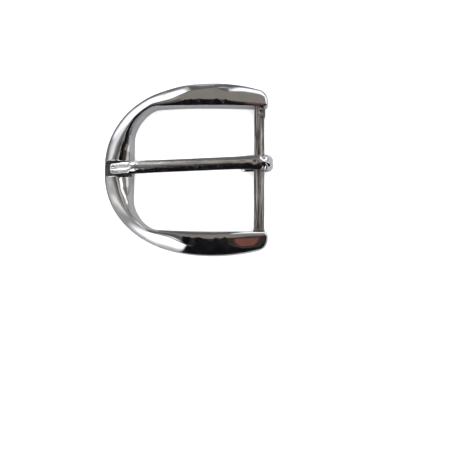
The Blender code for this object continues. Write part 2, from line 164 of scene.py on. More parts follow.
# The prong's shank: distance from the bar, width, thickness, depth of the groove on top and, in degrees, how
# far the top tilts at its sides.
SHANK = (
    (0.0, 4.7, 2.2, 0.0, 46),
    (4.0, 4.45, 2.3, 0.0, 50),
    (8.0, 4.15, 2.35, 0.0, 50),
    (30.0, 4.1, 2.3, 0.0, 50),
    (39.0, 4.2, 2.3, 0.0, 50),
    (41.2, 4.1, 2.15, 0.05, 44),
    (42.2, 3.55, 1.95, 0.22, 16),
    (47.0, 3.5, 0.8, 0.2, 12),
    (47.9, 3.1, 0.65, 0.15, 14),
    (48.25, 2.2, 0.45, 0.05, 20),
)
_, BEND_WIDTH, BEND_THICKNESS, _, BEND_TILT = SHANK[0]
TIP_REACH, TIP_ROUND, TIP_COUNT = SHANK[-1][0], 0.35, 7
SHANK_SPANS = ((47.6, 40.0, 0.2), (40.0, 9.0, 0.5), (9.0, 0.1, 0.15))  # from, to, and step between sections
# Marks that the bending left at the hinge: dimple on top, pinch either side of the loop, and the folds beyond
DIMPLE_REACH, DIMPLE_LENGTH, DIMPLE_SIDE, DIMPLE_DEPTH = 1.35, 0.9, 0.6, 0.28
GROOVE_REACH, GROOVE_LENGTH, GROOVE_OFFSET, GROOVE_SIDE, GROOVE_DEPTH = 5.6, 2.2, 0.25, 0.35, 0.12
PINCH_ANGLE, PINCH_SPREAD, PINCH_DEPTH, PINCH_POWER = math.radians(66), math.radians(9), 0.75, 1.3
FOLD_COUNT, FOLD_DEPTH, FOLD_RISE = 9, 0.13, 0.6
FOLD_END, FOLD_FADE, FOLD_CENTRE = 4.5, 2.0, 0.05
OUTSIDE_GAIN = 4  # how fast the marks come in from the middle of the metal's thickness to its outside

# Finishes: linear colours. Cast is the bare floor of the notch, coloured near black as painted shade.
PLATING_WARM, PLATING_COOL = (0.66, 0.645, 0.625, 1), (0.60, 0.605, 0.62, 1)
# The drawn colour is painted highlight: the prong's streaks turn far brighter than the plating, standing in
# for highlight streaks.
PLATING_RUBBED, PLATING_DRAWN_HIGHLIGHT = (0.72, 0.70, 0.66, 1), (0.97, 0.96, 0.94, 1)
CAST_SHADED_DARK, CAST_SHADED_LIGHT = (0.03, 0.03, 0.032, 1), (0.20, 0.195, 0.195, 1)
PIT_DARK = (0.045, 0.04, 0.035, 1)
STEEL_DARK, STEEL_LIGHT = (0.035, 0.030, 0.026, 1), (0.46, 0.44, 0.42, 1)
STEEL_BROWN = (0.12, 0.09, 0.07, 1)

# How deep, in mm, each kind of mark in the plating is. The drawn streaks are only on the prong.
FRAME_WAVE, PRONG_WAVE, FINE_WAVE = 0.006, 0.025, 0.002
SCRATCH_DEPTH, GRAIN_DEPTH, DRAWN_DEPTH = 0.0015, 0.12, 0.05
# How strongly the drawn streaks show, as bumps and as painted highlight in the colour
FRAME_DRAWN, PRONG_DRAWN_AND_HIGHLIGHT = 0.0, 0.85

# Kinds of noise: size of a blotch in mm, stretch along the axes, detail and roughness. A span after one is
# the values between which its mark comes in.
EVEN = (1.0, 1.0, 1.0)
WAVE_NOISE, FINE_WAVE_NOISE = (3.4, EVEN, 1.0), (0.9, EVEN, 1.0)
TONE_NOISE, TONE_SPAN = (7.0, EVEN, 3.0), (0.3, 0.7)
PIT_NOISE, PIT_SPAN = (0.22, EVEN, 0.0), (0.72, 0.80)
PIT_PATCH_NOISE, PIT_PATCH_SPAN = (3.0, EVEN), (0.48, 0.62)
SCRATCH_PATCH_NOISE, SCRATCH_PATCH_SPAN = (2.6, EVEN), (0.45, 0.65)
RUB_NOISE, RUB_SPAN, EDGE_SPAN = (1.2, EVEN, 3.0), (0.35, 0.65), (0.53, 0.60)
GRAIN_NOISE, GRAIN_SPAN = (0.3, EVEN, 4.0, 0.7), (0.35, 0.65)
SMEAR_NOISE, SMEAR_SPAN = (2.2, (1.0, 1.6, 1.0), 4.0, 0.6), (0.35, 0.75)
# The drawn streaks are painted brighter, as highlight streaks, where this noise crosses its span.
DRAWN_NOISE, DRAWN_HIGHLIGHT_SPAN = (0.5, (24.0, 1.0, 1.0), 3.0, 0.6), (0.44, 0.58)
# The two sets of scratches, along the belt and across it: size, stretch along the axes and half width
SCRATCHES = ((0.5, (9.0, 1.0, 1.0), 0.010), (0.6, (1.0, 7.0, 1.0), 0.008))
# How much of the colour each mark takes over, and how rough it leaves the plating
RUB_SHARE, PIT_SHARE = 0.6, 0.7
SMEAR_ROUGH, SCRATCH_ROUGH, RUB_ROUGH, CAST_ROUGH = (0.02, 0.08), 0.18, 0.08, 0.38

# The bar's steel: streaks, fine streaks, brown patina and dark spots
STREAK_NOISE, STREAK_SPAN, STREAK_DEPTH = (0.55, (1.0, 26.0, 1.0), 4.0, 0.65), (0.45, 0.60), 0.09
STREAK_ROUGH_SPAN, STREAK_ROUGH = (0.3, 0.7), (0.42, 0.24)
FINE_NOISE, FINE_SPAN, FINE_SHARE, FINE_DEPTH = (0.16, (1.0, 40.0, 1.0)), (0.46, 0.56), 0.4, 0.015
PATINA_NOISE, PATINA_SPAN, PATINA_SHARE = (2.4, (1.0, 2.5, 1.0), 4.0, 0.6), (0.40, 0.66), 0.4
SPOT_NOISE, SPOT_SPAN, SPOT_SHARE, SPOT_DEPTH = (0.35, (1.0, 1.8, 1.0)), (0.66, 0.74), 0.75, 0.02
DULL_ROUGH = 0.14  # how much rougher the patina and the spots are

# Paper that the buckle lies on: how far it reaches (in metres), its colour, and how dark the metal mirrors it
PAPER_HALF = 2.0
PAPER_SEEN, PAPER_MIRRORED = (0.95, 0.95, 0.95, 1), (0.30, 0.30, 0.315, 1)

# Camera: lens and sensor in mm, nearest distance and place in metres, turn about the axes in degrees
CAMERA_LENS, CAMERA_SENSOR, CAMERA_NEAREST = 79.65, 36.0, 0.01
CAMERA_PLACE, CAMERA_TURN = (0.021236, -0.058072, 0.320747), (7.1288, 1.5864, 0.4250)

# What the polished metal mirrors, each a wedge seen from below: name, the wedge's point on the level plane,
# azimuth of its middle from +X, half width, tilt from straight up of its near and far edges, softness of its
# sides and of those edges (all in degrees), and colour. A later one lies over an earlier one.
ROOM = (
    ("ceiling", (0.0, 0.0), 90, 181, 0, 52, 1, 9, (0.32, 0.293, 0.265)),
    ("ceiling_west", (-0.10, 0.0), 180, 76, 0, 27, 12, 8, (0.12, 0.12, 0.125)),
    ("window_east", (0.0, 0.0), 17, 22, 56, 88, 6, 5, (1.6, 1.62, 1.66)),
    ("window_northeast", (0.0, 0.0), 57, 28, 46, 68, 6, 6, (1.9, 1.93, 2.0)),
    ("window_northwest", (0.0, 0.0), 128.5, 22.5, 45, 78, 3, 6, (1.9, 1.93, 2.0)),
    ("window_west", (0.0, 0.0), 170, 24, 43, 67, 6, 8, (1.15, 1.17, 1.2)),
    ("blind_west", (0.0, 0.0), 177, 6, 38, 80, 5, 8, (0.60, 0.60, 0.61)),
    ("blind_north", (0.0, 0.0), 102, 5, 47, 84, 3, 5, (0.75, 0.74, 0.73)),
    ("wall_north", (0.0, 0.0), 93, 9, 42, 86, 3, 5, (0.16, 0.155, 0.15)),
    ("wall_southwest", (0.0, 0.0), 202, 9, 30, 80, 6, 8, (0.42, 0.42, 0.44)),
    ("window_southwest", (0.0, 0.0), 231, 20, 24, 63, 8, 6, (1.9, 1.93, 2.0)),
    ("cupboard_southeast", (-0.02, 0.07), 324, 35, 0, 38, 9, 4, (0.040, 0.030, 0.026)),
    ("curtain_southeast", (-0.02, 0.07), 322, 37, 38, 90, 4, 4, (0.006, 0.006, 0.008)),
    ("operator", (-0.06, 0.22), 272.5, 17.5, 0, 90, 2, 2, (0.006, 0.006, 0.008)),
)
# A warm spot in the dark side: its middle and half sizes on the level plane, and where its edge fades
HAND_MIDDLE, HAND_HALF, HAND_COLOUR = (0.255, -0.20), (0.048, 0.19), (0.25, 0.098, 0.078)
SPOT_EDGE = (0.88, 1.12)
# What lies behind all of it, above and below a tilt in degrees
HAZE, HORIZON = (0.62, 0.63, 0.66), (0.22, 0.22, 0.23)
HORIZON_TILT, HORIZON_SOFT = 76, 4
DAYLIGHT = (2.2, 2.2, 2.2)  # what lights the paper, which the metal doesn't mirror


def smooth_between(rows, at):
    """The values of a table of rows at a point between them, on a smooth curve with no overshoot."""
    at = min(max(at, rows[0][0]), rows[-1][0])
    index = max(i for i in range(len(rows) - 1) if rows[i][0] <= at)
    low, high = rows[index], rows[index + 1]
    part = (at - low[0]) / (high[0] - low[0])

    def slope(row, column):
        """How steeply a column's curve leaves a row, so that it never runs past its neighbours."""
        if row == 0 or row == len(rows) - 1:
            return 0.0
        before = (rows[row][column] - rows[row - 1][column]) / (rows[row][0] - rows[row - 1][0])
        after = (rows[row + 1][column] - rows[row][column]) / (rows[row + 1][0] - rows[row][0])
        return 2 * before * after / (before + after) if before * after > 0 else 0.0

    span = high[0] - low[0]
    values = []
    for column in range(1, len(low)):
        a, b = low[column], high[column]
        start, end = slope(index, column) * span, slope(index + 1, column) * span
        values.append(
            a * (1 + 2 * part) * (1 - part) ** 2
            + start * part * (1 - part) ** 2
            + b * part**2 * (3 - 2 * part)
            - end * part**2 * (1 - part)
        )
    return values


def ease(part):
    """Rises smoothly from 0 to 1 as the part does, and stays level outside."""
    part = np.clip(part, 0.0, 1.0)
    return part * part * (3 - 2 * part)


def line(a, b):
    """A straight path."""
    return np.array([a, b], float)


def spaced(path, count, trim_start, trim_end):
    """Points at even steps along a path, without a length at each of its ends."""
    steps = np.r_[0.0, np.cumsum(np.linalg.norm(np.diff(path, axis=0), axis=1))]
    most = TRIM_SHARE * steps[-1]
    at = np.linspace(min(trim_start, most), steps[-1] - min(trim_end, most), count)
    return np.column_stack([np.interp(at, steps, path[:, k]) for k in range(path.shape[1])])


def rounded_section(sides):
    """A closed section from paths that meet at corners. Each corner is rounded off by its own length."""
    kept = [
        spaced(path, SIDE_POINTS[i], CORNER_ROUNDS[i - 1], CORNER_ROUNDS[i])
        for i, path in enumerate(sides)
    ]
    points = []
    for i, path in enumerate(kept):
        corner, after = sides[i][-1], kept[(i + 1) % len(kept)][0]
        t = np.linspace(0, 1, CORNER_POINTS[i] + 2)[1:-1, None]
        points.append(path)
        points.append(path[-1] * (1 - t) ** 2 + 2 * corner * t * (1 - t) + after * t**2)
    return np.vstack(points)


def outer_edge(way):
    """A point of the frame's outer edge on the +Y side, and its inward direction. Way runs from 0 to 2."""
    if way <= 1.0:
        angle = way * math.pi / 2
        along, across = math.cos(angle), math.sin(angle)
        x = BELLY_REACH * (1 - max(along, 0.0) ** (2 / CROWN_POWER))
        y = HALF_WIDTH * across ** (2 / CROWN_POWER)
        back = max(BELLY_REACH - x, 0.0) / BELLY_REACH
        inward = np.array(
            [back ** (CROWN_POWER - 1) / BELLY_REACH, -((y / HALF_WIDTH) ** (CROWN_POWER - 1)) / HALF_WIDTH]
        )
    else:
        run = (way - 1) * (FRAME_LENGTH - BELLY_REACH)
        x = BELLY_REACH + run
        y = HALF_WIDTH - (RAIL_RADIUS - math.sqrt(RAIL_RADIUS**2 - run**2))
        inward = np.array([0.0, -1.0])
    inward = inward / np.linalg.norm(inward)
    slant = ease((y - SQUARE_TO) / (SLANTED_FROM - SQUARE_TO)) if way < 1.0 else 1.0
    inward = np.array([1.0, 0.0]) * (1 - slant) + inward * slant
    return np.array([x, y]), inward / np.linalg.norm(inward)


def opening_half(reach):
    """Half of the strap opening's width at a distance from the crown's outer edge, or 0 in the crown."""
    corner_x, corner_y = CORNER_SIZE
    corner_end = CROWN_WIDTH + corner_x
    rail_start = OPENING_HALF - OPENING_TAPER
    if reach <= CROWN_WIDTH:
        return 0.0
    if reach < corner_end:
        across = ((corner_end - reach) / corner_x) ** CORNER_POWER
        return rail_start - corner_y + corner_y * (1 - across) ** (1 / CORNER_POWER)
    left = max(BELLY_REACH - reach, 0.0) / (BELLY_REACH - corner_end)
    return OPENING_HALF - OPENING_TAPER * left**2


def frame_width(edge, inward):
    """How far the strap opening is from the outer edge, along the inward direction."""
    low, high = WIDTH_BETWEEN
    for _ in range(HALVINGS):
        middle = (low + high) / 2
        point = edge + inward * middle
        if abs(point[1]) < opening_half(point[0]):
            high = middle
        else:
            low = middle
    return high


def arch(reach):
    """How far the buckle's curve along the belt lifts a section: most halfway, and nothing at either end."""
    return ARCH_RISE * (1 - (2 * reach / FRAME_LENGTH - 1) ** 2)


def drawn_in(past, radius):
    """How far a rounded edge has drawn in, this far past the start of its rounding."""
    return radius - math.sqrt(max(radius**2 - past**2, 0.0)) if past > 0 else 0.0


def nose_drawn_in(reach, radius):
    """How far an edge has drawn in on its way round the nose, with the given radius."""
    return drawn_in(reach - (FRAME_LENGTH - radius), radius)


def sloped(start, length, knots, degrees):
    """A path whose slope runs evenly between the degrees given at its knots."""
    part = np.linspace(0, 1, SLOPE_STEPS)
    slope = np.tan(np.radians(np.interp((part[1:] + part[:-1]) / 2, knots, degrees)))
    rise = np.r_[0.0, np.cumsum(slope) * length / (SLOPE_STEPS - 1)]
    return np.column_stack([start[0] + part * length, start[1] + rise])


def frame_section(way, width):
    """The frame's section as (distance from the outer edge, height) points, up the outer wall and back."""
    height, crease, rim, step, *slopes = smooth_between(SECTIONS, way)
    band_end, facet_end = len(BAND_KNOTS), len(BAND_KNOTS) + len(FACET_KNOTS)
    rim = min(rim, width - crease - FACET_LEAST)
    band = sloped((0.0, 0.0), crease - STEP_WIDTH, BAND_KNOTS, slopes[:band_end])
    band[:, 1] += height - band[-1, 1]
    foot = band[-1] + np.array([STEP_WIDTH, STEP_WIDTH * math.tan(math.radians(slopes[band_end])) - step])
    facet = sloped(foot, width - rim - crease, FACET_KNOTS, slopes[band_end:facet_end])
    edge = sloped(facet[-1], rim, RIM_KNOTS, slopes[facet_end:])
    outer_wall, step_down = line((0.0, 0.0), band[0]), line(band[-1], foot)
    inner_wall, back = line(edge[-1], (width, 0.0)), line((width, 0.0), (0.0, 0.0))
    return rounded_section([outer_wall, band, step_down, facet, edge, inner_wall, back])


def notch_height(up, side):
    """The frame's top lowered into the prong's notch, and how much of the way down the notch's wall that is.

    Side is the distance from the notch's middle.
    """
    if side >= NOTCH_HALF + NOTCH_EDGE:
        return up, 0.0
    floor, above = np.minimum(up, NOTCH_FLOOR), np.maximum(up - NOTCH_FLOOR, 0.0)
    if side >= NOTCH_HALF:
        drop = drawn_in(NOTCH_HALF + NOTCH_EDGE - side, NOTCH_EDGE)
        return floor + np.maximum(above - drop, 0.0), 0.0
    wall = np.maximum(above - NOTCH_EDGE, 0.0)
    foot = np.minimum(wall, NOTCH_FILLET)
    down = (NOTCH_HALF - side) / NOTCH_DRAFT
    if down < 1.0:
        return floor + wall * (1 - down) + foot * down, down
    fillet = drawn_in(NOTCH_FILLET - (NOTCH_HALF - NOTCH_DRAFT - side), NOTCH_FILLET)
    return floor + foot * fillet / NOTCH_FILLET, 1.0


def frame_ring(way):
    """One section of the frame in place, on the +Y side, and how much of each point is in the notch."""
    edge, inward = outer_edge(way)
    width = frame_width(edge, inward)
    outer, inner = nose_drawn_in(edge[0], NOSE_OUTER_RADIUS), nose_drawn_in(edge[0], NOSE_INNER_RADIUS)
    top_drop, back_lift = nose_drawn_in(edge[0], NOSE_TOP_RADIUS), nose_drawn_in(edge[0], NOSE_BACK_RADIUS)
    out, full = frame_section(way, width).T
    top = full.max()
    up, depth = notch_height(full, edge[1])
    # The notch's floor and walls: bare and rough, and painted dark as shade
    cast = depth * ((full > NOTCH_FLOOR - CAST_BELOW_FLOOR) & (out > CAST_INSIDE_WALL))
    lift = arch(edge[0])
    back = max(lift - BACK_FLAT, 0.0)
    out = outer + out * (width - outer - inner) / width
    up = back_lift + up * (top - top_drop - back_lift) / top
    lifted = back + up + (lift - back) * np.minimum(up / BACK_BLEND, 1.0)
    place = edge[None, :] + inward[None, :] * out[:, None]
    return np.column_stack([CROWN_X + place[:, 0], place[:, 1], lifted]), cast


def way_at(side):
    """The way along the crown at which its outer edge is this far to the side."""
    return 2 / math.pi * math.asin((side / HALF_WIDTH) ** (CROWN_POWER / 2))


def frame_ways():
    """Where the sections stand: close together round the notch and the nose, and at even steps between."""
    floor_end = NOTCH_HALF - NOTCH_DRAFT - NOTCH_FILLET
    turn = np.linspace(0, math.pi / 2, ROUNDED_COUNT)[1:]
    sides = list(np.linspace(0.0, floor_end, FLOOR_COUNT))
    sides += list(floor_end + NOTCH_FILLET * np.sin(turn))
    sides += list(NOTCH_HALF - NOTCH_DRAFT * np.array(WALL_PARTS))
    sides += list(NOTCH_HALF + NOTCH_EDGE * (1 - np.cos(turn)))
    sides += list(np.arange(NOTCH_HALF + NOTCH_EDGE + BESIDE_GAP, BESIDE_TO, BESIDE_STEP))
    ways = [way_at(side) for side in sides]
    ways += list(np.arange(ways[-1] + SIDE_GAP, 1.0, SIDE_STEP))
    rail = FRAME_LENGTH - BELLY_REACH
    nose = 1 + (rail - NOSE_OUTER_RADIUS) / rail
    ways += list(np.linspace(1.0, nose, RAIL_COUNT))
    ways += list(nose + (2 - nose) * np.sin(math.pi / 2 * np.linspace(0, 1, NOSE_COUNT)[1:]))
    return ways


def loft(rings):
    """Points and faces of the closed body through closed rings of points."""
    size = len(rings[0])
    faces = []
    for row in range(len(rings) - 1):
        near, far = row * size, (row + 1) * size
        for column in range(size):
            after = (column + 1) % size
            faces.append((near + column, far + column, far + after, near + after))
    faces.append(list(range(size)))
    faces.append([(len(rings) - 1) * size + column for column in reversed(range(size))])
    return np.vstack(rings), faces


def turn_outward(mesh):
    """Flips a closed mesh whose faces look inward."""
    mesh.calc_loop_triangles()
    corners = np.empty(len(mesh.loop_triangles) * 3, dtype=np.int32)
    mesh.loop_triangles.foreach_get("vertices", corners)
    points = np.empty(len(mesh.vertices) * 3)
    mesh.vertices.foreach_get("co", points)
    a, b, c = (points.reshape(-1, 3)[corners.reshape(-1, 3)[:, k]] for k in range(3))
    if np.einsum("ij,ij->", a, np.cross(b, c)) < 0:
        mesh.flip_normals()


def new_piece(name, verts, faces, material, attributes=()):
    """A closed, smooth object from points in millimetres, with values of its own at each point."""
    mesh = bpy.data.meshes.new(name)
    mesh.from_pydata((verts * MM).tolist(), [], faces)
    mesh.materials.append(material)
    for label, values in attributes:
        layer = mesh.attributes.new(label, "FLOAT", "POINT")
        layer.data.foreach_set("value", np.asarray(values, dtype=np.float32))
    mesh.shade_smooth()
    mesh.validate()
    piece = bpy.data.objects.new(name, mesh)
    bpy.context.scene.collection.objects.link(piece)
    turn_outward(mesh)
    return piece


def build_frame(material):
    """The casting, lofted from one nose round the crown to the other. The -Y half mirrors the +Y half."""
    made = [frame_ring(way) for way in frame_ways()]
    mirror = np.array([1.0, -1.0, 1.0])
    rings = [ring * mirror for ring, _ in reversed(made[1:])] + [ring for ring, _ in made]
    cast = [part for _, part in reversed(made[1:])] + [part for _, part in made]
    return new_piece("frame_casting", *loft(rings), material, [("cast", np.concatenate(cast))])


def bar_radius(y, angle):
    """Radius of the pin: a little uneven, swollen and punched at one end, with a collar at the other."""
    swelling = ease((y - BOSS_ENDS[0]) / BOSS_FADES[0]) * (1 - ease((y - BOSS_ENDS[1]) / BOSS_FADES[1]))
    boss = BOSS_BULGE * swelling * np.maximum(np.cos(angle), 0.0)
    away = ((y - PUNCH_AT) ** 2 + ((angle - PUNCH_TURN) * BAR_RADIUS) ** 2) / PUNCH_RADIUS**2
    raised = PUNCH_RIM_SHARE * PUNCH_DEPTH * np.exp(-((away - PUNCH_RIM_AWAY) ** 2))
    punch = PUNCH_DEPTH * np.exp(-(away**2)) - raised
    collar = COLLAR_PROUD * ease((COLLAR_AT - y) / COLLAR_FADE)
    wave = BAR_WAVE * sum(np.sin(waves * angle + turn * y) for waves, turn in BAR_WAVES)
    return BAR_RADIUS + boss - punch + collar + wave * ease((BOSS_ENDS[0] - abs(y)) / BAR_WAVE_FADE)


def build_bar(material):
    """The steel pin, lofted along the bar's axis."""
    end = OPENING_HALF + BAR_IN_RAIL
    angle = np.linspace(0, 2 * math.pi, BAR_SIDES, endpoint=False)
    rings = []
    for y in np.linspace(-end, end, BAR_STEPS):
        radius = bar_radius(y, angle)
        x, up = radius * np.cos(angle), radius * np.sin(angle)
        rings.append(np.column_stack([CROWN_X + BAR_REACH + x, np.full(len(angle), y), BAR_HEIGHT + up]))
    return new_piece("strap_bar", *loft(rings), material)


def shank_height(reach):
    """Height of the shank's middle over the bar's axis: level at the bar, then sloping to the notch."""
    start = LOOP_INNER_RADIUS + LOOP_TOP / 2
    if reach < BEND_LENGTH:
        return start - PRONG_SLOPE * reach**2 / (2 * BEND_LENGTH)
    return start - PRONG_SLOPE * (reach - BEND_LENGTH / 2)


def prong_section(width, thickness, groove=0.0, top_tilt=BEND_TILT):
    """A section's points across and up: a shallow arc on top, nearly upright sides and a round underside."""
    limit = 2 * PRONG_TOP_SHARE * thickness / width
    tilt = 2 * math.atan(min(math.tan(math.radians(top_tilt) / 2), limit))
    radius = width / 2 / math.sin(tilt)
    spread = np.linspace(tilt, -tilt, PRONG_TOP_POINTS)
    across = radius * np.sin(spread)
    up = thickness / 2 - radius * (1 - np.cos(spread))
    edge = up[0]
    up = up - groove * np.exp(-((across / (width / PAD_GROOVE_PART)) ** 2))
    turn = np.linspace(0, -math.pi, PRONG_UNDER_POINTS)[1:-1]
    c, s = np.cos(turn), np.sin(turn)
    under_across = -np.sign(c) * np.abs(c) ** (2 / PRONG_UNDER_POWER) * width / 2
    under_up = edge - np.abs(s) ** (2 / PRONG_UNDER_POWER) * (thickness / 2 + edge)
    return np.r_[across, under_across], np.r_[up, under_up]


def bend_marks(along, across, up, half):
    """How far the outside of the bend is sunk. Along is the distance past the bar's axis, round the loop."""
    outside = np.clip(up * OUTSIDE_GAIN, 0.0, 1.0)
    length, side = (along + DIMPLE_REACH) / DIMPLE_LENGTH, across / DIMPLE_SIDE
    dimple = DIMPLE_DEPTH * np.exp(-(length**2) - side**2)
    length, side = (along + GROOVE_REACH) / GROOVE_LENGTH, (across - GROOVE_OFFSET) / GROOVE_SIDE
    groove = GROOVE_DEPTH * np.exp(-(length**2) - side**2)
    saddle = (math.pi / 2 - PINCH_ANGLE) * (LOOP_INNER_RADIUS + LOOP_TOP)
    spread = PINCH_SPREAD * (LOOP_INNER_RADIUS + LOOP_TOP)
    past = along - saddle
    pinch = PINCH_DEPTH * np.exp(-((past / spread) ** 2)) * (np.abs(across) / half) ** PINCH_POWER
    fan = np.arctan2(across, max(past, FOLD_CENTRE))
    shown = ease(past / FOLD_RISE) * (1 - ease((past - FOLD_END) / FOLD_FADE))
    folds = FOLD_DEPTH * shown * np.cos(FOLD_COUNT * fan)
    return outside * (dimple + groove + pinch + folds)


def prong_rings():
    """Sections from the tip along the shank, over the bar and round it, to the tail's end."""
    rings = []
    reaches = list(TIP_REACH - TIP_ROUND * np.sin(math.pi / 2 * np.linspace(0, 1, TIP_COUNT)) ** 2)
    for start, end, step in SHANK_SPANS:
        reaches += list(np.arange(start, end, -step))
    for reach in reaches:
        width, thickness, groove, top_tilt = smooth_between(SHANK, reach)
        across, up = prong_section(width, thickness, groove, top_tilt)
        up = up - bend_marks(-reach, across, up, width / 2)
        sunk = (BEND_THICKNESS - thickness) / 2
        rings.append(np.column_stack([np.full(len(up), -reach), across, shank_height(reach) + up - sunk]))
    for angle in np.linspace(math.pi / 2, -math.pi / 2, LOOP_COUNT):
        side = math.cos(angle)
        ends, narrow = (LOOP_TOP, BEND_WIDTH) if angle > 0 else (TAIL_THICKNESS, TAIL_WIDTH)
        thickness = ends + (LOOP_SIDE - ends) * side**2
        width = narrow + (LOOP_WIDTH - narrow) * side
        across, up = prong_section(width, thickness)
        along = (math.pi / 2 - angle) * (LOOP_INNER_RADIUS + LOOP_TOP)
        up = up - bend_marks(along, across, up, width / 2)
        radius = LOOP_INNER_RADIUS + thickness / 2 + up
        rings.append(np.column_stack([radius * math.cos(angle), across, radius * math.sin(angle)]))
    under = -(LOOP_INNER_RADIUS + TAIL_THICKNESS / 2)
    for part, size in TAIL_PARTS:
        across, up = prong_section(TAIL_WIDTH * size, TAIL_THICKNESS * size)
        rings.append(np.column_stack([np.full(len(up), -TAIL_REACH * part), across, under - up]))
    return rings


def build_prong(material):
    """The tongue, lofted from its tip to its tail, then turned and moved to its place on the bar."""
    verts, faces = loft(prong_rings())
    c, s = math.cos(PRONG_YAW), math.sin(PRONG_YAW)
    x, y, up = verts.T
    turned = [x * c - y * s + CROWN_X + BAR_REACH, x * s + y * c + PRONG_SIDE, up + BAR_HEIGHT]
    return new_piece("prong_tongue", np.column_stack(turned), faces, material)


class Nodes:
    """Adds nodes to a tree and links them, one short call each."""

    def __init__(self, tree):
        self.tree = tree

    def add(self, kind, inputs=(), **settings):
        """A new node. An input is a value, or another node's output to link."""
        node = self.tree.nodes.new(kind)
        for name, value in settings.items():
            setattr(node, name, value)
        for key, value in dict(inputs).items():
            self.put(node.inputs[key], value)
        return node

    def put(self, socket, value):
        """Links an output to the socket, or sets the socket to a value."""
        if isinstance(value, bpy.types.NodeSocket):
            self.tree.links.new(value, socket)
        else:
            socket.default_value = value

    def math(self, operation, *values):
        """The outcome of one operation on one or two values."""
        return self.add("ShaderNodeMath", enumerate(values), operation=operation).outputs[0]

    def dot(self, vector, axis):
        """How far a vector reaches along an axis."""
        node = self.add("ShaderNodeVectorMath", {0: vector, 1: axis}, operation="DOT_PRODUCT")
        return node.outputs["Value"]

    def step(self, value, span, ends=(0.0, 1.0)):
        """Runs smoothly from one end to the other as a value crosses its span."""
        names = ("Value", "From Min", "From Max", "To Min", "To Max")
        inputs = zip(names, (value, *span, *ends))
        return self.add("ShaderNodeMapRange", inputs, interpolation_type="SMOOTHSTEP").outputs["Result"]

    def mix(self, part, a, b):
        """The first colour turned into the second by a part from 0 to 1."""
        node = self.add("ShaderNodeMix", data_type="RGBA")
        for index, value in ((0, part), (6, a), (7, b)):
            self.put(node.inputs[index], value)
        return node.outputs[2]

    def noise(self, size, stretch, detail=2.0, roughness=0.5):
        """Noise whose blotches are about this many millimetres across, stretched along the axes."""
        place = self.add("ShaderNodeTexCoord").outputs["Object"]
        scale = tuple(1.0 / part for part in stretch)
        place = self.add("ShaderNodeMapping", {"Vector": place, "Scale": scale}).outputs[0]
        inputs = {"Vector": place, "Scale": 1.0 / (size * MM), "Detail": detail, "Roughness": roughness}
        return self.add("ShaderNodeTexNoise", inputs).outputs["Fac"]

    def lines(self, size, stretch, half_width):
        """Fine lines where a stretched noise crosses its middle value."""
        aside = self.math("ABSOLUTE", self.math("SUBTRACT", self.noise(size, stretch, 1.0), 0.5))
        return self.step(aside, (0.0, half_width), (1.0, 0.0))

    def bump(self, height, depth, normal=None):
        """A normal tilted by a height, over another normal if there is one. The depth is in millimetres."""
        inputs = {"Height": height, "Distance": depth * MM, "Strength": 1.0}
        if normal is not None:
            inputs["Normal"] = normal
        return self.add("ShaderNodeBump", inputs).outputs[0]


def metal(name):
    """A new all-metal material, its nodes and its shader."""
    material = bpy.data.materials.new(name)
    material.use_nodes = True
    shader = material.node_tree.nodes["Principled BSDF"]
    shader.inputs["Metallic"].default_value = 1.0
    return material, Nodes(material.node_tree), shader


